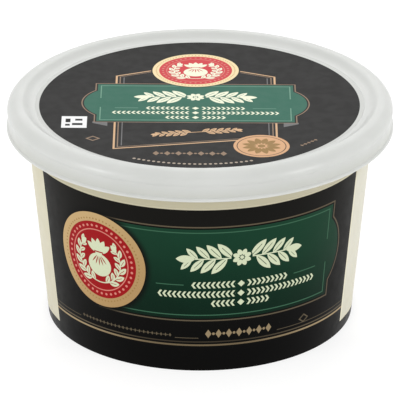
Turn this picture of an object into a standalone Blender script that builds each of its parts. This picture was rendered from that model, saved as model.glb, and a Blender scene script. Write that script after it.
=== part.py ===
"""A shut retail tub of fresh cheese.

The tub is a tapered round plastic moulding with a label moulded into its wall. A broad
window of bare plastic is left in the label on each side. A press-on lid with a rolled rim
closes the tub, and a round label lies in the lid's sunk panel.

Metres, +Z up. The origin is the centre of the base, on the surface that the tub stands
on, and the front of the label faces -Y. The pack is shut, so tub and contents are one
solid.
"""

import math

import bmesh
import bpy
from mathutils import Matrix

MM = 0.001

# Tub wall: a straight cone from the floor up to the flange that the lid closes over.
FLOOR_RADIUS = 47.8 * MM
WALL_DRAFT = math.radians(5.4)
FLANGE_HEIGHT = 63.6 * MM
FLANGE_RADIUS = 58.0 * MM
TUB_HEIGHT = 66.8 * MM

# Tub base: a flat foot ring round a shallow stacking recess.
FOOT_ROUNDING = 0.5 * MM
RECESS_RADIUS = 43.0 * MM
RECESS_DEPTH = 1.2 * MM

# Side label: a band round the base that rises into a front and a back panel.
LABEL_BOTTOM = 0.8 * MM
WINDOW_SILL = 3.9 * MM
LABEL_TOP = 56.4 * MM
PANEL_HALF_ANGLE = math.radians(65.0)

# Lid: a skirt that widens a little to its lower lip, rolled rim and sunk panel.
SHOULDER_RADIUS = 59.75 * MM
LID_HEIGHT = 71.0 * MM
LIP_BOTTOM = 62.1 * MM
LIP_RADIUS = 60.0 * MM
LIP_ROUNDING = 0.3 * MM
SHOULDER_HEIGHT = 67.5 * MM
RIM_CREST_RADIUS = 55.0 * MM
PANEL_EDGE_RADIUS = 50.5 * MM
PANEL_HEIGHT = 68.85 * MM
LID_LABEL_RADIUS = 49.9 * MM

# Moulded-in labels lie flush with the plastic, in pockets with a clear gap all round.
LABEL_THICKNESS = 0.4 * MM
CLEARANCE = 0.3 * MM
POCKET_DEPTH = LABEL_THICKNESS + CLEARANCE
CUTTER_REACH = 1.0 * MM

# Cream tub plastic, frosted white lid plastic and black printed film.
TUB_COLOUR = (0.73, 0.685, 0.515)
TUB_ROUGHNESS = 0.35
LID_COLOUR = (0.635, 0.645, 0.622)
LID_ROUGHNESS = 0.4
LABEL_COLOUR = (0.010, 0.010, 0.009)
LABEL_ROUGHNESS = 0.25

# How finely the round shapes are divided, and what counts as one point or a crease.
SEGMENTS = 72
SHOULDER_STEPS = 7
RIM_SLOPE_STEPS = 6
ROUNDING_STEPS = 3
MERGE_DISTANCE = 0.001 * MM
SHARP_ANGLE = math.radians(35.0)


def clear_scene():
    for scene_object in list(bpy.data.objects):
        bpy.data.objects.remove(scene_object, do_unlink=True)


def plastic(name, colour, roughness):
    material = bpy.data.materials.new(name)
    material.use_nodes = True
    shader = material.node_tree.nodes["Principled BSDF"]
    shader.inputs["Base Color"].default_value = (*colour, 1.0)
    shader.inputs["Roughness"].default_value = roughness
    shader.inputs["Metallic"].default_value = 0.0
    return material


def add_object(name, mesh_data, material):
    mesh = bpy.data.meshes.new(name)
    mesh_data.to_mesh(mesh)
    mesh_data.free()
    mesh.shade_smooth()
    mesh.set_sharp_from_angle(angle=SHARP_ANGLE)
    if material is not None:
        mesh.materials.append(material)
    new_object = bpy.data.objects.new(name, mesh)
    bpy.context.scene.collection.objects.link(new_object)
    return new_object


def arc(centre, radii, start, end, steps):
    """Points of an elliptical arc in the (radius, height) plane, both ends included."""
    points = []
    for step in range(steps + 1):
        angle = start + (end - start) * step / steps
        radius = centre[0] + radii[0] * math.cos(angle)
        height = centre[1] + radii[1] * math.sin(angle)
        points.append((radius, height))
    return points


def turned(name, profile, material):
    """A closed solid turned about Z from a profile that starts and ends on the axis."""
    mesh_data = bmesh.new()
    points = [mesh_data.verts.new((radius, 0.0, height)) for radius, height in profile]
    lines = [mesh_data.edges.new(pair) for pair in zip(points, points[1:])]
    bmesh.ops.spin(
        mesh_data,
        geom=points + lines,
        axis=(0.0, 0.0, 1.0),
        cent=(0.0, 0.0, 0.0),
        angle=math.tau,
        steps=SEGMENTS,
        use_merge=True,
    )
    bmesh.ops.remove_doubles(mesh_data, verts=mesh_data.verts, dist=MERGE_DISTANCE)
    bmesh.ops.recalc_face_normals(mesh_data, faces=mesh_data.faces)
    return add_object(name, mesh_data, material)


def wall_radius(height):
    return FLOOR_RADIUS + height * math.tan(WALL_DRAFT)


def wall_sheet(heights, offset):
    """An open sheet round the tub's wall, ring by ring, moved out by offset."""
    mesh_data = bmesh.new()
    bmesh.ops.create_circle(
        mesh_data,
        segments=SEGMENTS,
        radius=wall_radius(heights[0]) + offset,
        matrix=Matrix.Translation((0.0, 0.0, heights[0])),
    )
    ring = list(mesh_data.edges)
    for lower, upper in zip(heights, heights[1:]):
        grown = bmesh.ops.extrude_edge_only(mesh_data, edges=ring)["geom"]
        points = [part for part in grown if isinstance(part, bmesh.types.BMVert)]
        stretch = (wall_radius(upper) + offset) / (wall_radius(lower) + offset)
        bmesh.ops.scale(mesh_data, vec=(stretch, stretch, 1.0), verts=points)
        bmesh.ops.translate(mesh_data, vec=(0.0, 0.0, upper - lower), verts=points)
        ring = [part for part in grown if isinstance(part, bmesh.types.BMEdge)]
    return mesh_data


def cut_windows(mesh_data, sill, edge_angle):
    """Opens both side windows above the sill; their edges stand in planes through Z."""
    for side in (1.0, -1.0):
        bmesh.ops.bisect_plane(
            mesh_data,
            geom=[*mesh_data.verts, *mesh_data.edges, *mesh_data.faces],
            dist=MERGE_DISTANCE,
            plane_co=(0.0, 0.0, 0.0),
            plane_no=(math.cos(edge_angle), side * math.sin(edge_angle), 0.0),
        )
    window_faces = []
    for face in mesh_data.faces:
        centre = face.calc_center_median()
        turn_from_panel_middle = math.atan2(abs(centre.x), abs(centre.y))
        if centre.z > sill and turn_from_panel_middle > edge_angle:
            window_faces.append(face)
    bmesh.ops.delete(mesh_data, geom=window_faces, context="FACES")


def face_outwards(mesh_data):
    bmesh.ops.recalc_face_normals(mesh_data, faces=mesh_data.faces)
    mesh_data.faces.ensure_lookup_table()
    face = mesh_data.faces[0]
    if face.normal.dot(face.calc_center_median()) < 0.0:
        bmesh.ops.reverse_faces(mesh_data, faces=mesh_data.faces)


def side_label_shape(name, offset, growth, thickness, material=None):
    """The side label's outline on the wall, moved out by offset and grown by growth.

    It is thickened inwards, so the same outline serves the label itself and, grown by
    the clearance, the cutter for the pocket that the label lies in.
    """
    heights = (LABEL_BOTTOM - growth, WINDOW_SILL + growth, LABEL_TOP + growth)
    mesh_data = wall_sheet(heights, offset)
    cut_windows(mesh_data, heights[1], PANEL_HALF_ANGLE + growth / wall_radius(heights[0]))
    face_outwards(mesh_data)
    shape = add_object(name, mesh_data, material)
    solidify = shape.modifiers.new("thickness", "SOLIDIFY")
    solidify.thickness = thickness
    solidify.offset = -1.0
    solidify.use_even_offset = True
    return shape


def make_tub():
    rounding_centre = (
        wall_radius(FOOT_ROUNDING) - FOOT_ROUNDING / math.cos(WALL_DRAFT),
        FOOT_ROUNDING,
    )
    foot = arc(
        rounding_centre,
        (FOOT_ROUNDING, FOOT_ROUNDING),
        math.radians(-90.0),
        -WALL_DRAFT,
        ROUNDING_STEPS,
    )
    profile = [
        (0.0, RECESS_DEPTH),
        (RECESS_RADIUS, RECESS_DEPTH),
        (RECESS_RADIUS + RECESS_DEPTH, 0.0),
        *foot,
        (wall_radius(FLANGE_HEIGHT), FLANGE_HEIGHT),
        (FLANGE_RADIUS, FLANGE_HEIGHT),
        (FLANGE_RADIUS, TUB_HEIGHT),
        (0.0, TUB_HEIGHT),
    ]
    tub = turned("tub", profile, plastic("tub_plastic", TUB_COLOUR, TUB_ROUGHNESS))

    cut_depth = CUTTER_REACH + POCKET_DEPTH
    cutter = side_label_shape("label_pocket", CUTTER_REACH, CLEARANCE, cut_depth)
    cutter.hide_render = True
    cutter.display_type = "WIRE"
    cut = tub.modifiers.new("label_pocket", "BOOLEAN")
    cut.operation = "DIFFERENCE"
    cut.object = cutter
    return tub


def make_side_label():
    film = plastic("side_label_film", LABEL_COLOUR, LABEL_ROUGHNESS)
    return side_label_shape("side_label", 0.0, 0.0, LABEL_THICKNESS, film)


def make_lid():
    pocket_floor = PANEL_HEIGHT - POCKET_DEPTH
    pocket_radius = LID_LABEL_RADIUS + CLEARANCE
    underside = TUB_HEIGHT + CLEARANCE
    skirt_inside = FLANGE_RADIUS + CLEARANCE

    # The rim rises from the panel in an S-curve and rolls over into the skirt.
    slope = []
    for step in range(RIM_SLOPE_STEPS):
        share = step / RIM_SLOPE_STEPS
        rise = 0.5 - 0.5 * math.cos(math.pi * share)
        radius = PANEL_EDGE_RADIUS + (RIM_CREST_RADIUS - PANEL_EDGE_RADIUS) * share
        slope.append((radius, PANEL_HEIGHT + (LID_HEIGHT - PANEL_HEIGHT) * rise))
    shoulder = arc(
        (RIM_CREST_RADIUS, SHOULDER_HEIGHT),
        (SHOULDER_RADIUS - RIM_CREST_RADIUS, LID_HEIGHT - SHOULDER_HEIGHT),
        math.radians(90.0),
        0.0,
        SHOULDER_STEPS,
    )
    lip = arc(
        (LIP_RADIUS - LIP_ROUNDING, LIP_BOTTOM + LIP_ROUNDING),
        (LIP_ROUNDING, LIP_ROUNDING),
        0.0,
        math.radians(-90.0),
        ROUNDING_STEPS,
    )
    profile = [
        (0.0, pocket_floor),
        (pocket_radius, pocket_floor),
        (pocket_radius, PANEL_HEIGHT),
        *slope,
        *shoulder,
        *lip,
        (skirt_inside, LIP_BOTTOM),
        (skirt_inside, underside),
        (0.0, underside),
    ]
    return turned("lid", profile, plastic("lid_plastic", LID_COLOUR, LID_ROUGHNESS))


def make_lid_label():
    underside = PANEL_HEIGHT - LABEL_THICKNESS
    profile = [
        (0.0, PANEL_HEIGHT),
        (LID_LABEL_RADIUS, PANEL_HEIGHT),
        (LID_LABEL_RADIUS, underside),
        (0.0, underside),
    ]
    film = plastic("lid_label_film", LABEL_COLOUR, LABEL_ROUGHNESS)
    return turned("lid_label", profile, film)


clear_scene()
make_tub()
make_side_label()
make_lid()
make_lid_label()
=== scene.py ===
"""Looks of a shut retail tub of fresh cheese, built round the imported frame.

The tub, its wrap-round label, the lid and the lid's round label are each remade as a fine
mesh in the place of their plain solid. Lengths are millimetres times MM, those of the print
are plain millimetres, +Z is up and the front of the labels faces -Y.
"""

import math

import bmesh
import bpy
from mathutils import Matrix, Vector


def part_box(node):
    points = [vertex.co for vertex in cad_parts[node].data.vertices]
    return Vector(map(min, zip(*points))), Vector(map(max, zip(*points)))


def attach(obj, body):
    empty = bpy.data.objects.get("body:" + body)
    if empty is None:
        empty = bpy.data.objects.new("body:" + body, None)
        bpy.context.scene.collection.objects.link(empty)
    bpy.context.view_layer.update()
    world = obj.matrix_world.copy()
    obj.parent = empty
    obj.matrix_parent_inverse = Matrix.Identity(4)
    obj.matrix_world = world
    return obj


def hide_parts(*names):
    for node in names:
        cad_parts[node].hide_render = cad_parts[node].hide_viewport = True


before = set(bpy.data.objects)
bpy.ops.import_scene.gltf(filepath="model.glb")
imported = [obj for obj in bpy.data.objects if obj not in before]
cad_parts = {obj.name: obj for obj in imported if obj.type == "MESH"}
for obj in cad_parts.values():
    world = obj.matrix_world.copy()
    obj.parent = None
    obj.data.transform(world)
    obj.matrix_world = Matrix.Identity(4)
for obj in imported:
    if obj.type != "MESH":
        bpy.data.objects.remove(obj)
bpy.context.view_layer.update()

# --- Tub ------------------------------------------------------------------------------
# A thin tapered cup, injection moulded in slightly cloudy natural polypropylene. The
# cheese and its liquid tint it cream, whiter on the viewer's right, where the cheese lies
# nearer the wall. Above the filling it is greyer and darker: partly the bare headspace
# behind, partly painted shade where the lid's rim shadows the wall.

MM = 0.001
BODY = "root"

WALL_DRAFT = math.radians(5.4)
FLOOR_RADIUS = 47.8 * MM
FOOT_ROUNDING = 0.25 * MM
FOOT_STEPS = 8
RECESS_RADIUS = 43.0 * MM
RECESS_DEPTH = 1.2 * MM
RECESS_CORNER = 0.3 * MM
RECESS_CORNER_DROP = 0.1 * MM
RECESS_CORNER_RISE = 0.2 * MM
GATE_RADIUS = 2.2 * MM
GATE_DEPTH = 0.5 * MM
FLANGE_HEIGHT = 63.6 * MM
EDGE_ROUNDING = 0.4 * MM
SEGMENTS = 288
MERGE_DISTANCE = 0.0005 * MM
CREASE_ANGLE = math.radians(30.0)

TUB_CREAM = (0.536, 0.503, 0.375)
TUB_LOWER_CREAM = (0.513, 0.485, 0.372)
TUB_CLOUD = (0.551, 0.525, 0.416)
TUB_HEADSPACE_AND_SHADE = (0.408, 0.376, 0.264)
TUB_MILKY = (0.577, 0.564, 0.484)
TUB_ROUGHNESS = (0.42, 0.54)
TUB_CLOUD_SCALE = 38.0
TUB_GRAIN_SCALE = 260.0
TUB_RIPPLE_SCALE = 110.0

# Where the cream changes, in millimetres up the wall or to the right, and by what share.
CREAM_CLIMB = (2.0, 55.0)
HEADSPACE_SHADE_CLIMB, HEADSPACE_SHADE_SHARE = (54.0, 57.5), (0.0, 0.8)
CHEESE_REACH, CHEESE_SHARE = (10.0, 48.0), (0.0, 0.75)
CHEESE_CLIMB, CHEESE_CLIMB_SHARE = (3.0, 32.0), (0.45, 1.0)

# A noise's values for clouds and their share, and where most of any noise's values lie.
CLOUD_RANGE, CLOUD_SHARE = (0.45, 0.75), (0.0, 0.6)
NOISE_RANGE = (0.3, 0.7)


class Shade:
    """One output in a material's node tree; arithmetic on it adds Math nodes."""

    def __init__(self, tree, socket=None):
        self.tree = tree
        self.socket = socket

    def node(self, kind, settings, inputs, output=0):
        """Adds a node: its settings first, then the values or links of its sockets."""
        added = self.tree.nodes.new(kind)
        for name, setting in settings.items():
            if name == "stops":
                elements = added.color_ramp.elements
                while len(elements) < len(setting):
                    elements.new(1.0)
                for element, (position, colour) in zip(elements, setting):
                    element.position = position
                    element.color = (*colour, 1.0)
            else:
                setattr(added, name, setting)
        for name, given in inputs.items():
            if isinstance(given, Shade):
                self.tree.links.new(given.socket, added.inputs[name])
            else:
                added.inputs[name].default_value = given
        return Shade(self.tree, added.outputs[output])

    def math(self, operation, *others, clamp=False):
        settings = {"operation": operation, "use_clamp": clamp}
        return self.node("ShaderNodeMath", settings, dict(enumerate((self, *others))))

    def __add__(self, other):
        return self.math("ADD", other)

    def __sub__(self, other):
        return self.math("SUBTRACT", other)

    def __rsub__(self, other):
        return self * -1.0 + other

    def __mul__(self, other):
        return self.math("MULTIPLY", other)

    def __truediv__(self, other):
        return self.math("DIVIDE", other)

    def __neg__(self):
        return self * -1.0

    def __abs__(self):
        return self.math("ABSOLUTE")

    def mixed(self, other, share):
        """This colour turned towards another by a share from 0 to 1."""
        factor, first, second, result = 0, 6, 7, 2
        settings = {"data_type": "RGBA", "clamp_factor": True}
        colour = (*other, 1.0) if isinstance(other, tuple) else other
        return self.node(
            "ShaderNodeMix", settings, {factor: share, first: self, second: colour}, result
        )


def new_finish(name):
    """A material and its shader."""
    material = bpy.data.materials.new(name)
    material.use_nodes = True
    return material, material.node_tree.nodes["Principled BSDF"]


def place_on(finish):
    """The object coordinates that a finish's pattern starts from."""
    return Shade(finish.node_tree).node("ShaderNodeTexCoord", {}, {}, "Object")


def settle(shader, values):
    """Sets the sockets whose value is the same all over the surface."""
    for name, value in values.items():
        shader.inputs[name].default_value = value


def feed(shader, name, value):
    value.tree.links.new(value.socket, shader.inputs[name])


def part(vector, axis):
    """The X, Y or Z of a vector."""
    return vector.node("ShaderNodeSeparateXYZ", {}, {"Vector": vector}, axis)


def noise(place, scale, detail=2.0, roughness=0.5):
    inputs = {"Vector": place, "Scale": scale, "Detail": detail, "Roughness": roughness}
    return place.node("ShaderNodeTexNoise", {}, inputs, "Fac")


def spread(value, given, wanted=(0.0, 1.0)):
    """A value's given range stretched to the wanted one, with smooth ends."""
    inputs = {"Value": value, 1: given[0], 2: given[1], 3: wanted[0], 4: wanted[1]}
    return value.node("ShaderNodeMapRange", {"interpolation_type": "SMOOTHSTEP"}, inputs)


def ramp(share, low, high):
    """A colour that runs from low to high as share goes from 0 to 1."""
    stops = [(0.0, low), (1.0, high)]
    return share.node("ShaderNodeValToRGB", {"stops": stops}, {"Fac": share}, "Color")


def grain(place, scale, roughness):
    """A roughness that wanders over the surface within its range."""
    return spread(noise(place, scale), NOISE_RANGE, roughness)


def bumped(shader, height, strength, distance):
    """Raises the surface in the shading by a height from 0 to 1 times distance."""
    inputs = {"Strength": strength, "Distance": distance, "Height": height}
    feed(shader, "Normal", height.node("ShaderNodeBump", {}, inputs, "Normal"))


def arc(centre, radii, start, end, steps):
    """Points of an elliptical arc in the (radius, height) plane; angles in degrees."""
    points = []
    for step in range(steps + 1):
        angle = math.radians(start + (end - start) * step / steps)
        radius = centre[0] + radii[0] * math.cos(angle)
        points.append((radius, centre[1] + radii[1] * math.sin(angle)))
    return points


def turned(profile):
    """A mesh turned about Z from points in the (radius, height) plane."""
    shape = bmesh.new()
    points = [shape.verts.new((radius, 0.0, height)) for radius, height in profile]
    lines = [shape.edges.new(pair) for pair in zip(points, points[1:])]
    bmesh.ops.spin(
        shape,
        geom=points + lines,
        axis=(0.0, 0.0, 1.0),
        cent=(0.0, 0.0, 0.0),
        angle=math.tau,
        steps=SEGMENTS,
        use_merge=True,
    )
    bmesh.ops.remove_doubles(shape, verts=shape.verts, dist=MERGE_DISTANCE)
    bmesh.ops.recalc_face_normals(shape, faces=shape.faces)
    return shape


def piece(name, shape, finish, node):
    """Makes a finished piece of the pack, in place of its plain solid."""
    mesh = bpy.data.meshes.new(name)
    shape.to_mesh(mesh)
    shape.free()
    mesh.shade_smooth()
    mesh.set_sharp_from_angle(angle=CREASE_ANGLE)
    mesh.materials.append(finish)
    made = bpy.data.objects.new(name, mesh)
    bpy.context.scene.collection.objects.link(made)
    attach(made, BODY)
    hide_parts(node)


def wall_radius(height):
    return FLOOR_RADIUS + height * math.tan(WALL_DRAFT)


def foot_arc(offset, start, steps):
    """The rounded foot of the wall, moved out by offset, up to where the wall begins."""
    centre = wall_radius(FOOT_ROUNDING) - FOOT_ROUNDING / math.cos(WALL_DRAFT)
    rounding = FOOT_ROUNDING + offset
    end = -math.degrees(WALL_DRAFT)
    return arc((centre, FOOT_ROUNDING), (rounding, rounding), start, end, steps)


tub_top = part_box("tub")[1]
flange_radius = tub_top.x
tub_profile = [
    (0.0, RECESS_DEPTH + GATE_DEPTH),
    (GATE_RADIUS, RECESS_DEPTH + GATE_DEPTH),
    (GATE_RADIUS + GATE_DEPTH, RECESS_DEPTH),
    (RECESS_RADIUS - RECESS_CORNER, RECESS_DEPTH),
    (RECESS_RADIUS, RECESS_DEPTH - RECESS_CORNER_DROP),
    (RECESS_RADIUS + RECESS_DEPTH - RECESS_CORNER, RECESS_CORNER_RISE),
    (RECESS_RADIUS + RECESS_DEPTH, 0.0),
    *foot_arc(0.0, -90.0, FOOT_STEPS),
    (wall_radius(FLANGE_HEIGHT - EDGE_ROUNDING), FLANGE_HEIGHT - EDGE_ROUNDING),
    (wall_radius(FLANGE_HEIGHT) + EDGE_ROUNDING, FLANGE_HEIGHT),
    (flange_radius - EDGE_ROUNDING, FLANGE_HEIGHT),
    (flange_radius, FLANGE_HEIGHT + EDGE_ROUNDING),
    (flange_radius, tub_top.z - EDGE_ROUNDING),
    (flange_radius - EDGE_ROUNDING, tub_top.z),
    (0.0, tub_top.z),
]

tub_finish, tub_shader = new_finish("cream_plastic")
tub_place = place_on(tub_finish)
tub_right = part(tub_place, "X") / MM
tub_up = part(tub_place, "Z") / MM
cream = ramp(spread(tub_up, CREAM_CLIMB), TUB_LOWER_CREAM, TUB_CREAM)
clouds = noise(tub_place, TUB_CLOUD_SCALE, detail=3.0, roughness=0.55)
cheese_near = spread(tub_right, CHEESE_REACH, CHEESE_SHARE)
cheese_near = cheese_near * spread(tub_up, CHEESE_CLIMB, CHEESE_CLIMB_SHARE)
cream = cream.mixed(TUB_CLOUD, spread(clouds, CLOUD_RANGE, CLOUD_SHARE))
cream = cream.mixed(TUB_MILKY, cheese_near)
# Painted shade: the wall above the filling darkens, partly for the headspace, partly for the lid's
# shadow.
feed(tub_shader, "Base Color", cream.mixed(TUB_HEADSPACE_AND_SHADE, spread(tub_up, HEADSPACE_SHADE_CLIMB, HEADSPACE_SHADE_SHARE)))
feed(tub_shader, "Roughness", grain(tub_place, TUB_GRAIN_SCALE, TUB_ROUGHNESS))
tub_ripple = noise(tub_place, TUB_RIPPLE_SCALE, detail=1.0)
bumped(tub_shader, tub_ripple, strength=0.1, distance=0.05 * MM)
settle(tub_shader, {
    "Specular IOR Level": 0.15,
    "Subsurface Weight": 0.15,
    "Subsurface Radius": (1.0, 0.85, 0.6),
    "Subsurface Scale": 1.5 * MM,
})

piece("tub_cup", turned(tub_profile), tub_finish, "tub")

# --- Side label -----------------------------------------------------------------------
# A printed film moulded into the tub's wall: a black band round the foot that rises into
# a front and a back panel, alike, with a green plaque, a red roundel and gold lines. Its
# edges stay clear, and darken towards the top, partly from the headspace behind and partly
# as painted shade under the lid. The black is painted lighter towards the top as painted
# light, and the gold stripes carry a painted sheen that brightens them towards the panels'
# sides.

FILM_RISE = 0.05 * MM
FILM_DEPTH = 0.15 * MM
FILM_TOP_MARGIN = 0.3 * MM
WINDOW_SILL = 3.9 * MM
PANEL_HALF_ANGLE = math.radians(65.0)
# Where on the foot's rounding the film starts, in degrees from level.
FOOT_WRAP_START = -55.0
FILM_FOOT_STEPS = 6
# How much of the baking map's height each half of the film fills.
MAP_FILL = 0.49

FILM_ROUGHNESS = (0.30, 0.40)
FILM_GRAIN_SCALE = 300.0
FILM_RIPPLE_SCALE = 500.0
INK_MOTTLE_SCALE = 160.0

UNPRINTED = (0.640, 0.608, 0.468)
UNPRINTED_HEADSPACE_AND_SHADE = (0.480, 0.447, 0.325)
BLACK = (0.0024, 0.0022, 0.0018)
BLACK_PAINTED_LIT = (0.0056, 0.0052, 0.0042)
BLACK_PAINTED_SHADE = (0.0013, 0.0012, 0.0011)
GREEN_HIGH = (0.0064, 0.0365, 0.0186)
GREEN_LOW = (0.0017, 0.0125, 0.0064)
GREEN_LINE = (0.0360, 0.1040, 0.0600)
GOLD = (0.230, 0.174, 0.100)
STRIPE_DIM = (0.127, 0.095, 0.054)
STRIPE_BRIGHT = (0.310, 0.233, 0.132)
FINE_DIM = (0.036, 0.028, 0.018)
FINE_BRIGHT = (0.103, 0.082, 0.052)
DULL_GOLD = (0.0896, 0.0710, 0.0448)
TAN = (0.436, 0.300, 0.142)
TAN_SHADE = (0.350, 0.220, 0.095)
DARK_TAN = (0.274, 0.166, 0.058)
RED = (0.2581, 0.0062, 0.0080)
CREAM = (0.510, 0.552, 0.383)
PINK = (0.531, 0.191, 0.149)

# Places on a panel: millimetres across from its middle, and up from the base.
SIDE_SCALE_RADIUS = 50.9
BORDER = 0.4
TOP_BORDER = 0.54
SILL_BORDER = 0.1
SILL_SAG_SPAN, SILL_SAG = (60.0, 76.0), (0.0, 1.0)
PANEL_SHIFT = 0.25
UNPRINTED_SHADE_CLIMB = (52.0, 56.0)
BLACK_LIGHT_CLIMB = (6.0, 56.0)
PLAQUE_LEFT, PLAQUE_RIGHT = -34.0, 45.5
PLAQUE_BOTTOM, PLAQUE_TOP = 18.0, 50.0
PLAQUE_MIDDLE = (PLAQUE_TOP + PLAQUE_BOTTOM) / 2.0
PLAQUE_LOBE_RADIUS, PLAQUE_LOBE_REACH = 15.6, 4.3
PLAQUE_GOLD_LINE, PLAQUE_BLACK_LINE = 0.45, 0.5
INNER_LINE_MIDDLE = 5.2
GREEN_MOTTLE, GREEN_LEAN = 6.0, 0.1
MOTIF_MIDDLE, SPRAY_HEIGHT = 12.7, 39.3
RULE_MIDDLE, RULE_HALF_LENGTH = 22.0, 4.3
ROUNDEL_PLACE, ROUNDEL_RADIUS, ROUNDEL_RED, ROUNDEL_SHADOW = (-32.8, 34.2), 16.05, 13.0, 2.6
RING_SPAN = (-22.0, 22.0)
PAINTED_SHEEN_SPAN = (10.0, 50.0)
SMALL_CHAIN_PLACE, SMALL_CHAIN_GAP = (-25.5, 12.4), 17.5
LARGE_CHAIN_PLACE, LARGE_CHAIN_GAP = (12.5, 13.1), 13.0
RIGHT_LOZENGE_PLACE, RIGHT_LOZENGE_HALF_LINE = (35.8, 13.0), 0.2
# Each feather row's height and half width.
FEATHER_ROWS = ((30.2, 15.8), (26.9, 26.2), (23.7, 9.9))
# The height and half width of the gold stripe, and of the fine stripe and hairline above it.
STRIPE, FINE_STRIPE, HAIRLINE = (9.1, 0.3), (10.25, 0.2), (11.6, 0.1)

# The soft edge of all print, and half the width of its fine lines.
PRINT_EDGE = 0.08
HALF_FINE_LINE = 0.17
HALF_RULE = 0.15
HALF_STEM = 0.18
HALF_VEIN = 0.10
# A leaf's vein as shares of the leaf's length, and a spray's last leaf as one of its others.
VEIN_MIDDLE, VEIN_HALF_LENGTH, TIP_LENGTH = 0.42, 0.3, 0.8
# A flower's hub, and where its petals start and how long they are, as shares of its radius.
HUB_RADIUS, PETAL_START, PETAL_LENGTH = 0.2, 0.26, 0.74
# A chain's lozenges, its cut end and a row of feathers, as shares of their pitch, and a
# chain's dots as a share of its half height.
CHAIN_LOZENGE, CHAIN_END, CHAIN_DOT = 0.3, 0.32, 0.3
FEATHER_HALF_STROKE, FEATHER_START, FEATHER_LOZENGE = 0.23, 1.2, 0.75
# How far a feather stroke leans for each millimetre up, and the cosine of that lean.
FEATHER_LEAN, FEATHER_LEAN_COSINE = 0.7, 0.82


def covered(distance):
    """How much ink lies at a distance in millimetres outside a printed edge."""
    return distance.math("MULTIPLY_ADD", -1.0 / PRINT_EDGE, 0.5, clamp=True)


def printed(below, colour, distance):
    return below.mixed(colour, covered(distance))


def about(x, y, place):
    """Coordinates measured from a place."""
    return x - place[0], y - place[1]


def reach(x, y):
    """The length of the vector (x, y)."""
    return (x * x + y * y).math("SQRT")


def disc(x, y, radius):
    return reach(x, y) - radius


def band(distance, half_width):
    """A line of even width along an edge."""
    return abs(distance) - half_width


def rectangle(x, y, half_width, half_height):
    return (abs(x) - half_width).math("MAXIMUM", abs(y) - half_height)


def either(first, *others):
    for other in others:
        first = first.math("MINIMUM", other)
    return first


def both(first, *others):
    for other in others:
        first = first.math("MAXIMUM", other)
    return first


def leaf(across, along, leaf_length, half_width):
    """A pointed leaf from along = 0 to its length, between two equal arcs."""
    bow = (leaf_length**2 / 4.0 + half_width**2) / (2.0 * half_width)
    return disc(abs(across) + (bow - half_width), along - leaf_length / 2.0, bow)


def branch(x, y, pairs, pitch, leaf_length, half_width, tilt, wane):
    """A spray mirrored about x = 0: a stem with leaves that lean outwards and wane."""
    outward = abs(x)
    staggered = outward - abs(y) / math.tan(tilt) + y.math("SIGN") * (pitch / 4.0)
    number = (staggered / pitch).math("ROUND").math("MAXIMUM", 1.0).math("MINIMUM", pairs)
    aside = staggered - number * pitch
    size = 1.0 - (number / pairs) * (number / pairs) * wane
    across = aside * math.sin(tilt) / size
    along = (abs(y) / math.sin(tilt) + aside * math.cos(tilt)) / size
    blades = leaf(across, along, leaf_length, half_width) * size
    stem_end = pairs * pitch
    tip = leaf(y, outward - stem_end, leaf_length * TIP_LENGTH, half_width)
    stem = rectangle(outward - stem_end / 2.0, y, stem_end / 2.0, HALF_STEM)
    vein_ends = abs(along - leaf_length * VEIN_MIDDLE) - leaf_length * VEIN_HALF_LENGTH
    veins = both(abs(across) - HALF_VEIN, vein_ends)
    return either(both(blades, -veins), tip, stem)


def fan(x, y, count, step, inner, petal_length, half_width):
    """Petals that spread from a point about +y, count of them, step radians apart."""
    limit = (count - 1) / 2.0
    turn = x.math("ARCTAN2", y) / step + limit
    number = turn.math("ROUND").math("MAXIMUM", 0.0).math("MINIMUM", count - 1.0)
    aside = (turn - number) * step
    far = reach(x, y)
    across = far * aside.math("SINE")
    return leaf(across, far * aside.math("COSINE") - inner, petal_length, half_width)


def rosette(x, y, petals, radius):
    """A round flower: petals about a small hub, sized by shares of its radius."""
    width = radius * 2.0 / petals
    start, petal_length = radius * PETAL_START, radius * PETAL_LENGTH
    blades = fan(x, y, petals, math.tau / petals, start, petal_length, width)
    return either(blades, disc(x, y, radius * HUB_RADIUS))


def flower_spray(x, y, pitch, leaf_length, gap, flower):
    """A long spray that leaves a gap in its middle, with a round flower there."""
    spray = branch(
        x,
        y,
        pairs=4.0,
        pitch=pitch,
        leaf_length=leaf_length,
        half_width=1.3,
        tilt=math.radians(47.0),
        wane=0.3,
    )
    return either(both(spray, -disc(x, y, gap)), rosette(x, y, petals=8, radius=flower))


def bead_ring(x, y, radius, count, bead):
    """Round beads evenly spaced on a circle."""
    turn = x.math("ARCTAN2", y) * (count / math.tau)
    aside = turn - turn.math("ROUND")
    return disc(aside * (math.tau * radius / count), reach(x, y) - radius, bead)


def lozenge(x, y, half_width, half_height):
    steepness = half_width * half_height / math.hypot(half_width, half_height)
    return (abs(x) / half_width + abs(y) / half_height - 1.0) * steepness


def chain(x, y, count, pitch, half_height):
    """A row of lozenges with dots between, count of them each side of the middle one."""
    aside = x - (x / pitch).math("ROUND") * pitch
    stones = lozenge(aside, y, pitch * CHAIN_LOZENGE, half_height)
    dots = disc(abs(aside) - pitch / 2.0, y, half_height * CHAIN_DOT)
    return both(either(stones, dots), abs(x) - (count + CHAIN_END) * pitch)


def feathered(x, y, half_width, half_height=1.1, pitch=1.5):
    """A row of feather strokes that point outwards from a lozenge in the middle."""
    outward = abs(x)
    leaning = outward + abs(y) * FEATHER_LEAN
    aside = leaning - (leaning / pitch).math("ROUND") * pitch
    strokes = (abs(aside) - pitch * FEATHER_HALF_STROKE) * FEATHER_LEAN_COSINE
    inner_end = pitch * FEATHER_START - outward
    strokes = both(strokes, abs(y) - half_height, leaning - half_width, inner_end)
    return either(strokes, lozenge(x, y, pitch * FEATHER_LOZENGE, half_height))


def side_rules(x, y, middle, half_length):
    """A short fine rule on each side of a row."""
    return both(band(abs(x) - middle, half_length), abs(y) - HALF_RULE)


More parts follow.
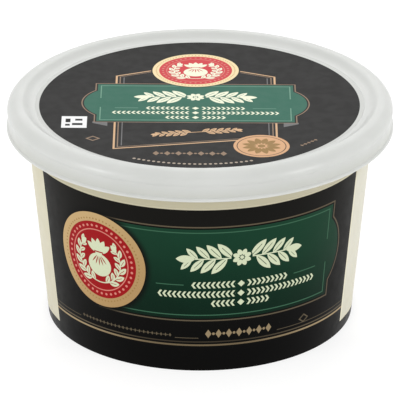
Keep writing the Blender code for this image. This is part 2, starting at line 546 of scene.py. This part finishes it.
# The roundel's sizes in millimetres, where its red disc has a radius of FULL_RED.
FULL_RED = 13.0
RING_BEADS_OUT, RING_BEADS, RING_BEAD = 1.0, 72, 0.28
RED_LINE_RADIUS = 10.3
RED_BEADS_RADIUS, RED_BEADS, RED_BEAD = 11.65, 40, 0.42
POUCH_RADIUS, POUCH_WIDENING, POUCH_DROP = 3.9, 1.1, 1.7
NECK_HEIGHT, NECK_HALF_WIDTH, NECK_HALF_HEIGHT = 2.4, 1.25, 1.1
TIE_HEIGHT, TIE_HALF_WIDTH, TIE_HALF_HEIGHT = 2.75, 1.7, 0.22
RUFFLES, RUFFLE_HEIGHT, RUFFLE_STEP = 5, 2.2, math.radians(26.0)
PLEATS, PLEATS_HEIGHT, PLEATS_STEP = 5, 2.4, math.radians(19.0)
WREATH_RADIUS, WREATH_TILT = 7.7, math.radians(38.0)
# A roundel's black outline in millimetres, and how its shadow fades outwards.
OUTLINE = 0.35
SHADOW_SHARE = (0.9, 0.0)


def roundel(below, x, y, radius, red_radius, shadow, ring, ring_beads, red, light):
    """A red disc in a beaded ring, with a knotted pouch of cheese in a wreath.

    A soft shadow of the given width is printed round it.
    """
    scale = red_radius / FULL_RED
    far = reach(x, y)
    colour = below.mixed(BLACK, spread(far, (radius, radius + shadow), SHADOW_SHARE))
    colour = printed(colour, BLACK, far - (radius + OUTLINE))
    colour = printed(colour, ring, far - radius)
    beads = bead_ring(x, y, red_radius + RING_BEADS_OUT * scale, RING_BEADS, RING_BEAD * scale)
    colour = printed(colour, ring_beads, beads)
    colour = printed(colour, red, far - red_radius)
    colour = printed(colour, PINK, band(far - RED_LINE_RADIUS * scale, HALF_FINE_LINE * scale))
    beads = bead_ring(x, y, RED_BEADS_RADIUS * scale, RED_BEADS, RED_BEAD * scale)
    colour = printed(colour, PINK, beads)

    x, y, far = x / scale, y / scale, far / scale
    body = disc(x / POUCH_WIDENING, y + POUCH_DROP, POUCH_RADIUS)
    neck = both(abs(x) - NECK_HALF_WIDTH, abs(y - NECK_HEIGHT) - NECK_HALF_HEIGHT)
    ruffle_y, pleats_y = y - RUFFLE_HEIGHT, PLEATS_HEIGHT - y
    ruffle = fan(x, ruffle_y, RUFFLES, RUFFLE_STEP, inner=0.4, petal_length=4.9, half_width=1.0)
    tie = both(abs(y - TIE_HEIGHT) - TIE_HALF_HEIGHT, abs(x) - TIE_HALF_WIDTH)
    pleats = fan(x, pleats_y, PLEATS, PLEATS_STEP, inner=1.1, petal_length=3.3, half_width=0.2)
    pouch = both(either(body, neck, ruffle), -tie, -pleats)
    wreath = branch(
        x.math("ARCTAN2", -y) * WREATH_RADIUS,
        WREATH_RADIUS - far,
        pairs=6.0,
        pitch=2.75,
        leaf_length=3.4,
        half_width=0.85,
        tilt=WREATH_TILT,
        wane=0.25,
    )
    return printed(colour, light, either(pouch, wreath) * scale)


def plaque_shape(x, y):
    """A rectangle with a shallow round lobe at its right-hand end."""
    half_width = (PLAQUE_RIGHT - PLAQUE_LEFT) / 2.0
    half_height = (PLAQUE_TOP - PLAQUE_BOTTOM) / 2.0
    lobe_middle = PLAQUE_RIGHT + PLAQUE_LOBE_REACH - PLAQUE_LOBE_RADIUS
    board = rectangle(x - (PLAQUE_LEFT + half_width), y - PLAQUE_MIDDLE, half_width, half_height)
    return either(board, disc(x - lobe_middle, y - PLAQUE_MIDDLE, PLAQUE_LOBE_RADIUS))


def brackets(x, y, half_width, half_height, gap):
    """A plaque's fine inner line, left open in the middle of each end."""
    return both(band(rectangle(x, y, half_width, half_height), HALF_FINE_LINE), gap - abs(y))


def unwrap(shape, layout):
    """Lays the faces out for baking, by a rule from a face's middle and a corner."""
    layer = shape.loops.layers.uv.new("OFBake")
    for face in shape.faces:
        middle = face.calc_center_median()
        for corner in face.loops:
            corner[layer].uv = layout(middle, corner.vert.co)


film_finish, film_shader = new_finish("side_print")
film_place = place_on(film_finish)
film_x, film_y = part(film_place, "X"), part(film_place, "Y")
up = part(film_place, "Z") / MM
# Across runs to the viewer's right on either panel, so the back reads like the front.
across = (film_x * film_y.math("SIGN") * -1.0).math("ARCTAN2", abs(film_y)) * SIDE_SCALE_RADIUS
panel_half_width = PANEL_HALF_ANGLE * SIDE_SCALE_RADIUS
film_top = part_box("side_label")[1].z + FILM_TOP_MARGIN
on_panel = both(
    abs(across + PANEL_SHIFT) - (panel_half_width - PANEL_SHIFT),
    up - (film_top / MM - TOP_BORDER),
)
sill_sag = spread(abs(across), SILL_SAG_SPAN, SILL_SAG)
on_band = up + sill_sag - (WINDOW_SILL / MM - SILL_BORDER)


def across_panel(line):
    """A level line over the whole panel, from its height and half width."""
    height, half_width = line
    return both(abs(up - height) - half_width, on_panel)


# Painted shade: the clear film darkens towards the top, partly for the headspace, partly for the
# lid's shadow.
side_print = ramp(spread(up, UNPRINTED_SHADE_CLIMB), UNPRINTED, UNPRINTED_HEADSPACE_AND_SHADE)
# Painted light: the black is lighter towards the top and darker towards the foot.
black = ramp(spread(up, BLACK_LIGHT_CLIMB), BLACK_PAINTED_SHADE, BLACK_PAINTED_LIT)
side_print = printed(side_print, black, either(on_panel, on_band))
ink_mottle = noise(film_place, INK_MOTTLE_SCALE, detail=3.0)
green_climb = up + ink_mottle * GREEN_MOTTLE + across * GREEN_LEAN
green = ramp(spread(green_climb, (PLAQUE_BOTTOM, PLAQUE_TOP + GREEN_MOTTLE)), GREEN_LOW, GREEN_HIGH)
plaque = plaque_shape(across, up)
side_print = printed(side_print, DULL_GOLD, plaque - PLAQUE_GOLD_LINE)
side_print = printed(side_print, BLACK, plaque)
side_print = printed(side_print, green, plaque + PLAQUE_BLACK_LINE)
inner_x, inner_y = about(across, up, (INNER_LINE_MIDDLE, PLAQUE_MIDDLE))
inner_line = brackets(inner_x, inner_y, half_width=38.4, half_height=14.3, gap=3.9)
side_print = printed(side_print, GREEN_LINE, inner_line)

from_middle = across - MOTIF_MIDDLE
from_spray = up - SPRAY_HEIGHT
spray = flower_spray(from_middle, from_spray, pitch=3.55, leaf_length=7.2, gap=3.3, flower=3.0)
side_print = printed(side_print, CREAM, spray)
rules = side_rules(from_middle, up - FEATHER_ROWS[0][0], RULE_MIDDLE, RULE_HALF_LENGTH)
side_print = printed(side_print, GREEN_LINE, rules)
for height, half_width in FEATHER_ROWS:
    side_print = printed(side_print, CREAM, feathered(from_middle, up - height, half_width))

roundel_x, roundel_y = about(across, up, ROUNDEL_PLACE)
ring_tan = ramp(spread(roundel_x - roundel_y, RING_SPAN), TAN, TAN_SHADE)
side_print = roundel(
    side_print,
    roundel_x,
    roundel_y,
    ROUNDEL_RADIUS,
    ROUNDEL_RED,
    ROUNDEL_SHADOW,
    ring_tan,
    DARK_TAN,
    RED,
    CREAM,
)

# Painted sheen: the gold stripes brighten towards the panels' sides.
painted_sheen = spread(abs(across), PAINTED_SHEEN_SPAN)
side_print = printed(side_print, ramp(painted_sheen, STRIPE_DIM, STRIPE_BRIGHT), across_panel(STRIPE))
side_print = printed(side_print, ramp(painted_sheen, FINE_DIM, FINE_BRIGHT), across_panel(FINE_STRIPE))
small_x, small_y = about(across, up, SMALL_CHAIN_PLACE)
large_x, large_y = about(across, up, LARGE_CHAIN_PLACE)
clear_of_chains = both(SMALL_CHAIN_GAP - abs(small_x), LARGE_CHAIN_GAP - abs(large_x))
side_print = printed(side_print, DULL_GOLD, both(across_panel(HAIRLINE), clear_of_chains))
small_chain = chain(small_x, small_y, count=11, pitch=1.45, half_height=0.6)
large_chain = chain(large_x, large_y, count=3, pitch=3.3, half_height=1.5)
right_lozenge = lozenge(*about(across, up, RIGHT_LOZENGE_PLACE), half_width=1.7, half_height=1.3)
side_print = printed(side_print, DULL_GOLD, small_chain)
side_print = printed(side_print, GOLD, large_chain)
side_print = printed(side_print, DULL_GOLD, band(right_lozenge, RIGHT_LOZENGE_HALF_LINE))

feed(film_shader, "Base Color", side_print)
feed(film_shader, "Roughness", grain(film_place, FILM_GRAIN_SCALE, FILM_ROUGHNESS))
film_ripple = noise(film_place, FILM_RIPPLE_SCALE, detail=1.0)
bumped(film_shader, film_ripple, strength=0.12, distance=0.02 * MM)
settle(film_shader, {"Specular IOR Level": 0.046})

border_angle = PANEL_HALF_ANGLE + BORDER / SIDE_SCALE_RADIUS
film_profile = [
    *foot_arc(FILM_RISE, FOOT_WRAP_START, FILM_FOOT_STEPS),
    (wall_radius(WINDOW_SILL) + FILM_RISE, WINDOW_SILL),
    (wall_radius(film_top) + FILM_RISE, film_top),
]
film = turned(film_profile)
for side in (1.0, -1.0):
    bmesh.ops.bisect_plane(
        film,
        geom=[*film.verts, *film.edges, *film.faces],
        dist=MERGE_DISTANCE,
        plane_co=(0.0, 0.0, 0.0),
        plane_no=(math.cos(border_angle), side * math.sin(border_angle), 0.0),
    )
window_faces = []
for face in film.faces:
    centre = face.calc_center_median()
    turn_from_panel_middle = math.atan2(abs(centre.x), abs(centre.y))
    if centre.z > WINDOW_SILL and turn_from_panel_middle > border_angle:
        window_faces.append(face)
bmesh.ops.delete(film, geom=window_faces, context="FACES")
film.faces.ensure_lookup_table()
if film.faces[0].normal.dot(film.faces[0].calc_center_median()) < 0.0:
    bmesh.ops.reverse_faces(film, faces=film.faces)
bmesh.ops.solidify(film, geom=film.faces[:], thickness=FILM_DEPTH)


def half_round(middle, point):
    """The front half of the film fills the map's lower half, the back half its upper."""
    front = middle.y < 0.0
    facing = 1.0 if front else -1.0
    turn = math.atan2(point.x * facing, -point.y * facing)
    return 0.5 + turn / math.pi, point.z / film_top * MAP_FILL + (0.0 if front else 0.5)


unwrap(film, half_round)
piece("side_label_film", film, film_finish, "side_label")

# --- Lid ------------------------------------------------------------------------------
# A press-on lid moulded in frosted white polypropylene: a sunk flat panel, a broad rolled
# rim raised round it from a small step, and a thin upright skirt, set back under the rim,
# that ends in a lip. The skirt is painted darker towards its foot, as painted shade of the
# gap behind it, and the rim's foot a little darker, as painted shade of the dark label
# beside it.

PANEL_EDGE_RADIUS = 51.0 * MM
PANEL_STEP = 0.12 * MM
STEP_ROUNDING = 0.06 * MM
STEP_EASE = 0.3
STEP_FACE_OUT = 0.05 * MM
STEP_TOP_OUT = 0.15 * MM
SLOPE_FOOT_OUT = 0.35 * MM
SLOPE_STEPS = 16
SLOPE_DELAY = 1.25
RIM_CREST_RADIUS = 55.5 * MM
SHOULDER_HEIGHT = 67.5 * MM
SHOULDER_STEPS = 28
SKIRT_TOP = 66.4 * MM
SKIRT_SETBACK = 0.3 * MM
SETBACK_STEPS = 8
SKIRT_INSIDE_RADIUS = 58.3 * MM
SKIRT_FOOT_ABOVE_LIP = 1.0 * MM
LIP_BOTTOM = 61.75 * MM
LIP_REACH = 0.25 * MM
LIP_ROUNDING = 0.35 * MM
# Where the lip's rounding starts, in degrees from level.
LIP_START = 25.0
LIP_STEPS = 8
LID_CLEARANCE = 0.3 * MM

LID_WHITE = (0.514, 0.522, 0.504)
LID_THICK = (0.490, 0.499, 0.480)
LID_SKIRT_SHADE = (0.464, 0.472, 0.442)
LID_FOOT = (0.504, 0.512, 0.494)
LID_ROUGHNESS = (0.29, 0.36)
LID_HAZE_SCALE, LID_HAZE_RANGE = 45.0, (0.3, 0.65)
LID_GRAIN_SCALE = 320.0
LID_RIPPLE_SCALE = 900.0

# Where the lid's white changes, in millimetres: up the skirt, up the lip, and out from
# the label's edge.
SKIRT_SHADE_FADE = (63.0, 67.0)
LIP_FADE = (62.7, 63.0)
FOOT_FADE = (51.0, 54.5)
FADE_OUT = (1.0, 0.0)


def eased(share):
    """A share from 0 to 1 that sets out and arrives gently."""
    return 0.5 - 0.5 * math.cos(math.pi * share)


lid_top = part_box("lid")[1]
lip_radius = lid_top.x
shoulder_radius = lip_radius - LIP_REACH
skirt_radius = shoulder_radius - SKIRT_SETBACK
label_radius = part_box("lid_label")[1].x
panel_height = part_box("lid_label")[1].z

# The rim's inner slope climbs in an S-curve, and the skirt is set back in another.
step_top = panel_height + PANEL_STEP
slope_foot = PANEL_EDGE_RADIUS + SLOPE_FOOT_OUT
slope = []
for step in range(SLOPE_STEPS + 1):
    share = step / SLOPE_STEPS
    radius = slope_foot + (RIM_CREST_RADIUS - slope_foot) * share
    climb = (lid_top.z - step_top) * eased(share**SLOPE_DELAY)
    slope.append((radius, step_top + climb))
setback = []
for step in range(1, SETBACK_STEPS + 1):
    share = step / SETBACK_STEPS
    radius = shoulder_radius - SKIRT_SETBACK * eased(share)
    setback.append((radius, SHOULDER_HEIGHT - (SHOULDER_HEIGHT - SKIRT_TOP) * share))
shoulder = arc(
    (RIM_CREST_RADIUS, SHOULDER_HEIGHT),
    (shoulder_radius - RIM_CREST_RADIUS, lid_top.z - SHOULDER_HEIGHT),
    90.0,
    0.0,
    SHOULDER_STEPS,
)
lip = arc(
    (lip_radius - LIP_ROUNDING, LIP_BOTTOM + LIP_ROUNDING),
    (LIP_ROUNDING, LIP_ROUNDING),
    LIP_START,
    -90.0,
    LIP_STEPS,
)
lid_profile = [
    (0.0, panel_height),
    (label_radius, panel_height),
    (PANEL_EDGE_RADIUS, panel_height),
    (PANEL_EDGE_RADIUS + STEP_FACE_OUT, step_top - STEP_ROUNDING),
    (PANEL_EDGE_RADIUS + STEP_TOP_OUT, step_top - STEP_EASE * STEP_ROUNDING),
    *slope,
    *shoulder[1:],
    *setback,
    (skirt_radius, LIP_BOTTOM + SKIRT_FOOT_ABOVE_LIP),
    *lip,
    (SKIRT_INSIDE_RADIUS, LIP_BOTTOM),
    (SKIRT_INSIDE_RADIUS, tub_top.z + LID_CLEARANCE),
    (0.0, tub_top.z + LID_CLEARANCE),
]

lid_finish, lid_shader = new_finish("frosted_plastic")
lid_place = place_on(lid_finish)
lid_up = part(lid_place, "Z") / MM
lid_out = reach(part(lid_place, "X"), part(lid_place, "Y")) / MM
haze = spread(noise(lid_place, LID_HAZE_SCALE, detail=3.0, roughness=0.6), LID_HAZE_RANGE)
# Painted shade: the thin skirt darkens towards its foot, for the shadowed gap behind it.
skirt_shade = spread(lid_up, SKIRT_SHADE_FADE, FADE_OUT) * spread(lid_up, LIP_FADE)
# Painted shade: the rim's foot darkens next to the dark label.
label_near = spread(lid_out, FOOT_FADE, FADE_OUT)
frosted = ramp(haze, LID_THICK, LID_WHITE).mixed(LID_SKIRT_SHADE, skirt_shade).mixed(LID_FOOT, label_near)
feed(lid_shader, "Base Color", frosted)
feed(lid_shader, "Roughness", grain(lid_place, LID_GRAIN_SCALE, LID_ROUGHNESS))
bumped(lid_shader, noise(lid_place, LID_RIPPLE_SCALE), strength=0.2, distance=0.02 * MM)
settle(lid_shader, {
    "Specular IOR Level": 0.42,
    "Subsurface Weight": 0.3,
    "Subsurface Radius": (1.0, 1.0, 0.95),
    "Subsurface Scale": 2.0 * MM,
})

piece("press_on_lid", turned(lid_profile), lid_finish, "lid")

# --- Lid label ------------------------------------------------------------------------
# A round printed film moulded flush into the lid's panel, with a plaque and a roundel like
# the side label's, a gold line frame behind them, and a gold badge near the front edge.

LID_FILM_RISE = 0.04 * MM
LID_BORDER = 0.95 * MM
# The disc's radius as a share of the baking map's width.
LID_MAP_FILL = 0.495
LID_FILM_ROUGHNESS = (0.34, 0.42)

LID_BLACK = (0.0085, 0.0080, 0.0075)
LID_UNPRINTED = (0.536, 0.544, 0.520)
LID_GREEN = (0.0254, 0.1150, 0.0780)
LID_LINE = (0.135, 0.270, 0.198)
LID_RING = (0.720, 0.585, 0.342)
LID_RING_BEADS = (0.468, 0.297, 0.126)
LID_GOLD = (0.558, 0.360, 0.207)
COPPER = (0.243, 0.167, 0.113)
PALE_GOLD = (0.360, 0.300, 0.240)
BADGE_GOLD = (0.576, 0.333, 0.180)
LID_CREAM = (0.718, 0.736, 0.570)
GREY_FOLD = (0.1350, 0.1350, 0.1350)
WHITE = (0.736, 0.736, 0.736)
LID_RED = (0.504, 0.041, 0.050)

# Places on the lid, in millimetres: those of the black, the ring of edge beads and the
# roundel's height are from the axis, the rest from the artwork's middle. The print's rows
# slope down a little to the viewer's right; its uprights don't lean.
LID_BLACK_RADIUS, LID_BLACK_MIDDLE, LID_BLACK_NARROWING = 50.4, (-0.16, -0.42), 1.015
LID_ART_MIDDLE = (-1.38, -0.3)
LID_ROW_SLOPE = 0.0175
FRAME_HALF_WIDTH, FRAME_HALF_LINE = 24.75, 0.30
FRAME_GABLE_HEIGHT, FRAME_GABLE_SLOPE = 32.0, 0.42
FRAME_FOOT_DEPTH, FRAME_FOOT_SLOPE = 31.3, 0.185
INNER_FRAME_INSET = 1.1
UPRIGHT_INSET, UPRIGHT_END_INSET, UPRIGHT_HALF_LINE = 2.3, 2.1, 0.16
FOLD_MIDDLE, FOLD_HALF_WIDTH = 29.3, 2.3
FOLD_BOTTOM, FOLD_TOP = -18.6, -15.0
FOLD_CUT, FOLD_CUT_SLOPE = 64.0, 2.0
LID_PLAQUE_HALF_WIDTH, LID_PLAQUE_HALF_HEIGHT = 30.9, 15.2
LOBE_RADIUS, LOBE_REACH = 13.5, 4.1
LID_COPPER_LINE, LID_BLACK_LINE = 0.35, 0.45
LID_SPRAY_HEIGHT = 4.8
LID_RULE_MIDDLE, LID_RULE_HALF_LENGTH = 21.3, 3.6
LID_FEATHER_ROWS = ((-4.1, 15.6), (-7.7, 25.8), (-11.4, 10.0))
LID_ROUNDEL_HEIGHT, LID_ROUNDEL_RADIUS, LID_ROUNDEL_RED, LID_ROUNDEL_SHADOW = 26.4, 13.6, 11.5, 0.8
VINE_PLACE, VINE_SLANT, VINE_TILT = (0.4, -22.8), math.radians(9.0), math.radians(40.0)
LID_CHAIN_PLACE = (-1.7, -39.2)
EDGE_BEADS_RADIUS, EDGE_BEADS, EDGE_BEAD = 47.5, 190, 0.5
EDGE_BEADS_MIDDLE, EDGE_BEADS_HALF_WIDTH = -0.8, 18.3
BADGE_PLACE, BADGE_RADIUS, BADGE_LINE_RADIUS, BADGE_HALF_LINE = (20.0, -33.2), 8.5, 7.4, 0.12
BADGE_PETALS, BADGE_FLOWER_RADIUS = 12, 6.0
PATCH_PLACE, PATCH_HALF_WIDTH, PATCH_HALF_HEIGHT = (-37.2, -15.6), 3.9, 4.5
LEFT_MARK_PLACE, LEFT_MARK_HALF_LINE = (-31.2, -28.2), 0.25
RIGHT_MARK_PLACE, RIGHT_MARK_TURN = (34.4, -30.3), 0.7
# Each block in the white patch: its middle from the patch's, half width and half height.
PATCH_BLOCKS = (
    (-1.9, 1.2, 0.75, 1.4),
    (1.4, 1.8, 1.1, 0.7),
    (1.0, -1.6, 1.6, 0.8),
    (-2.0, -2.2, 0.7, 0.7),
)

lid_film_finish, lid_film_shader = new_finish("lid_print")
lid_film_place = place_on(lid_film_finish)
lid_x, lid_y = part(lid_film_place, "X") / MM, part(lid_film_place, "Y") / MM
art_x = lid_x - LID_ART_MIDDLE[0]
art_y = lid_y - LID_ART_MIDDLE[1] + art_x * LID_ROW_SLOPE
art_side = abs(art_x)

lid_print = ramp(noise(lid_film_place, INK_MOTTLE_SCALE, detail=3.0), LID_WHITE, LID_UNPRINTED)
black_x, black_y = about(lid_x, lid_y, LID_BLACK_MIDDLE)
black_disc = disc(black_x * LID_BLACK_NARROWING, black_y, LID_BLACK_RADIUS)
lid_print = printed(lid_print, LID_BLACK, black_disc)

# The frame: a gabled board in two gold lines with a grey upright beside them, whose lower
# edge slants up to the right.
frame_edge = both(
    art_side - FRAME_HALF_WIDTH,
    art_y + art_side * FRAME_GABLE_SLOPE - FRAME_GABLE_HEIGHT,
    -art_y - FRAME_FOOT_DEPTH + art_x * FRAME_FOOT_SLOPE,
)
lid_print = printed(lid_print, LID_GOLD, band(frame_edge, FRAME_HALF_LINE))
lid_print = printed(lid_print, COPPER, band(frame_edge + INNER_FRAME_INSET, HALF_FINE_LINE))
grey_upright = band(art_side - (FRAME_HALF_WIDTH - UPRIGHT_INSET), UPRIGHT_HALF_LINE)
lid_print = printed(lid_print, GREY_FOLD, both(grey_upright, frame_edge + UPRIGHT_END_INSET))

# Folded ends of the ribbon behind the plaque's lower corners.
fold = both(
    abs(art_side - FOLD_MIDDLE) - FOLD_HALF_WIDTH,
    FOLD_BOTTOM - art_y,
    art_y - FOLD_TOP,
    art_side - art_y * FOLD_CUT_SLOPE - FOLD_CUT,
)
lid_print = printed(lid_print, GREY_FOLD, fold)

board = rectangle(art_x, art_y, LID_PLAQUE_HALF_WIDTH, LID_PLAQUE_HALF_HEIGHT)
lobes = disc(art_side - (LID_PLAQUE_HALF_WIDTH + LOBE_REACH - LOBE_RADIUS), art_y, LOBE_RADIUS)
lid_plaque = either(board, lobes)
lid_print = printed(lid_print, COPPER, lid_plaque - LID_COPPER_LINE)
lid_print = printed(lid_print, LID_BLACK, lid_plaque)
lid_print = printed(lid_print, LID_GREEN, lid_plaque + LID_BLACK_LINE)
lid_inner_line = brackets(art_x, art_y, half_width=29.4, half_height=13.6, gap=3.6)
lid_print = printed(lid_print, LID_LINE, lid_inner_line)

spray_y = art_y - LID_SPRAY_HEIGHT
lid_spray = flower_spray(art_x, spray_y, pitch=3.4, leaf_length=7.0, gap=3.2, flower=2.9)
lid_print = printed(lid_print, LID_CREAM, lid_spray)
rules_y = art_y - LID_FEATHER_ROWS[0][0]
lid_rules = side_rules(art_x, rules_y, LID_RULE_MIDDLE, LID_RULE_HALF_LENGTH)
lid_print = printed(lid_print, LID_LINE, lid_rules)
for height, half_width in LID_FEATHER_ROWS:
    lid_print = printed(lid_print, LID_CREAM, feathered(art_x, art_y - height, half_width))

lid_print = roundel(
    lid_print,
    art_x,
    lid_y - LID_ROUNDEL_HEIGHT,
    LID_ROUNDEL_RADIUS,
    LID_ROUNDEL_RED,
    LID_ROUNDEL_SHADOW,
    LID_RING,
    LID_RING_BEADS,
    LID_RED,
    LID_CREAM,
)

from_vine_x, from_vine_y = about(art_x, art_y, VINE_PLACE)
vine_x = from_vine_x * math.cos(VINE_SLANT) + from_vine_y * math.sin(VINE_SLANT)
vine_y = from_vine_y * math.cos(VINE_SLANT) - from_vine_x * math.sin(VINE_SLANT)
vine = branch(
    vine_x,
    vine_y,
    pairs=5.0,
    pitch=2.3,
    leaf_length=3.4,
    half_width=0.75,
    tilt=VINE_TILT,
    wane=0.3,
)
lid_print = printed(lid_print, LID_GOLD, vine)

lid_chain = chain(*about(art_x, art_y, LID_CHAIN_PLACE), count=3, pitch=3.4, half_height=1.6)
lid_print = printed(lid_print, COPPER, lid_chain)
edge_beads = both(
    bead_ring(lid_x, -lid_y, EDGE_BEADS_RADIUS, EDGE_BEADS, EDGE_BEAD),
    abs(art_x - EDGE_BEADS_MIDDLE) - EDGE_BEADS_HALF_WIDTH,
    art_y,
)
lid_print = printed(lid_print, PALE_GOLD, edge_beads)

badge_x, badge_y = about(art_x, art_y, BADGE_PLACE)
badge_out = reach(badge_x, badge_y)
badge_flower = rosette(badge_x, badge_y, BADGE_PETALS, BADGE_FLOWER_RADIUS)
lid_print = printed(lid_print, BADGE_GOLD, badge_out - BADGE_RADIUS)
lid_print = printed(lid_print, LID_BLACK, band(badge_out - BADGE_LINE_RADIUS, BADGE_HALF_LINE))
lid_print = printed(lid_print, DARK_TAN, badge_flower)

patch_x, patch_y = about(art_x, art_y, PATCH_PLACE)
patch = rectangle(patch_x, patch_y, PATCH_HALF_WIDTH, PATCH_HALF_HEIGHT)
lid_print = printed(lid_print, WHITE, patch)
blocks = []
for middle_x, middle_y, half_width, half_height in PATCH_BLOCKS:
    blocks.append(rectangle(patch_x - middle_x, patch_y - middle_y, half_width, half_height))
lid_print = printed(lid_print, LID_BLACK, either(*blocks))

# A lozenge at the left, and a short chain at the right that climbs at 45 degrees.
left_mark = lozenge(*about(art_x, art_y, LEFT_MARK_PLACE), half_width=1.9, half_height=1.6)
mark_x, mark_y = about(art_x, art_y, RIGHT_MARK_PLACE)
mark_along = mark_x * RIGHT_MARK_TURN + mark_y * RIGHT_MARK_TURN
mark_across = mark_y * RIGHT_MARK_TURN - mark_x * RIGHT_MARK_TURN
right_mark = chain(mark_along, mark_across, count=2, pitch=1.5, half_height=0.7)
lid_print = printed(lid_print, COPPER, either(band(left_mark, LEFT_MARK_HALF_LINE), right_mark))

feed(lid_film_shader, "Base Color", lid_print)
feed(lid_film_shader, "Roughness", grain(lid_film_place, FILM_GRAIN_SCALE, LID_FILM_ROUGHNESS))
lid_film_ripple = noise(lid_film_place, FILM_RIPPLE_SCALE, detail=1.0)
bumped(lid_film_shader, lid_film_ripple, strength=0.08, distance=0.02 * MM)
settle(lid_film_shader, {"Specular IOR Level": 0.048})

disc_top = panel_height + LID_FILM_RISE
disc_radius = label_radius + LID_BORDER
disc_profile = [
    (0.0, disc_top),
    (disc_radius - LID_FILM_RISE, disc_top),
    (disc_radius, panel_height),
    (disc_radius, panel_height - FILM_DEPTH),
    (0.0, panel_height - FILM_DEPTH),
]
lid_disc = turned(disc_profile)


def flat_round(middle, point):
    """The disc as seen from above, filling the map."""
    return (
        0.5 + LID_MAP_FILL * point.x / disc_radius,
        0.5 + LID_MAP_FILL * point.y / disc_radius,
    )


unwrap(lid_disc, flat_round)
piece("lid_label_film", lid_disc, lid_film_finish, "lid_label")

# --- Studio ---------------------------------------------------------------------------
# A plain pale floor that glows a little, in an evenly lit room with soft lamps above,
# behind, in front and at both front sides. A long-lens camera looks down on the pack.

FLOOR_SIZE = 6.0
FLOOR_REFLECTANCE = 0.35
FLOOR_GLOW = 0.70
ROOM_LIGHT = 0.98
WHITE_LIGHT = (1.0, 1.0, 1.0, 1.0)

# Each lamp's azimuth from the front and its elevation in degrees, its distance and size in
# metres, and its power in watts.
LAMPS = {
    "above": (0.0, 89.9, 1.2, 1.6, 2.0),
    "behind": (180.0, 50.0, 0.45, 0.4, 0.52),
    "front": (0.0, 20.0, 1.2, 0.2, 0.5),
    "front_left": (-60.0, 12.0, 1.2, 0.25, 3.4),
    "front_right": (60.0, 12.0, 1.2, 0.25, 3.4),
}

CAMERA_DISTANCE = 1340.6 * MM
CAMERA_ELEVATION = math.radians(24.042)
AIM_HEIGHT = 35.9 * MM
SENSOR_WIDTH = 36.0
FOCAL_LENGTH = 385.6
CLIP_START, CLIP_END = 0.05, 20.0

floor_shape = bmesh.new()
bmesh.ops.create_grid(floor_shape, x_segments=1, y_segments=1, size=FLOOR_SIZE / 2.0)
floor_mesh = bpy.data.meshes.new("floor")
floor_shape.to_mesh(floor_mesh)
floor_shape.free()
floor = bpy.data.objects.new("floor", floor_mesh)
bpy.context.scene.collection.objects.link(floor)
floor_finish, floor_shader = new_finish("floor_white")
settle(floor_shader, {
    "Base Color": (FLOOR_REFLECTANCE, FLOOR_REFLECTANCE, FLOOR_REFLECTANCE, 1.0),
    "Roughness": 1.0,
    "Specular IOR Level": 0.0,
    "Emission Color": WHITE_LIGHT,
    "Emission Strength": FLOOR_GLOW,
})
floor_mesh.materials.append(floor_finish)

world = bpy.data.worlds.new("studio")
world.use_nodes = True
settle(world.node_tree.nodes["Background"], {"Color": WHITE_LIGHT, "Strength": ROOM_LIGHT})
bpy.context.scene.world = world


def softbox(name, azimuth, elevation, distance, size, power):
    """A square lamp aimed at the pack."""
    data = bpy.data.lights.new(name, "AREA")
    data.size = size
    data.energy = power
    light = bpy.data.objects.new(name, data)
    turn, height = math.radians(azimuth), math.radians(elevation)
    light.location = (
        distance * math.cos(height) * math.sin(turn),
        -distance * math.cos(height) * math.cos(turn),
        distance * math.sin(height),
    )
    light.rotation_euler = (math.pi / 2.0 - height, 0.0, turn)
    bpy.context.scene.collection.objects.link(light)


for lamp, settings in LAMPS.items():
    softbox(lamp, *settings)

camera_data = bpy.data.cameras.new("camera")
camera_data.sensor_width = SENSOR_WIDTH
camera_data.lens = FOCAL_LENGTH
camera_data.clip_start = CLIP_START
camera_data.clip_end = CLIP_END
camera = bpy.data.objects.new("camera", camera_data)
camera.location = (
    0.0,
    -CAMERA_DISTANCE * math.cos(CAMERA_ELEVATION),
    AIM_HEIGHT + CAMERA_DISTANCE * math.sin(CAMERA_ELEVATION),
)
camera.rotation_euler = (math.pi / 2.0 - CAMERA_ELEVATION, 0.0, 0.0)
bpy.context.scene.collection.objects.link(camera)
bpy.context.scene.camera = camera
bpy.context.scene.view_settings.view_transform = "Standard"
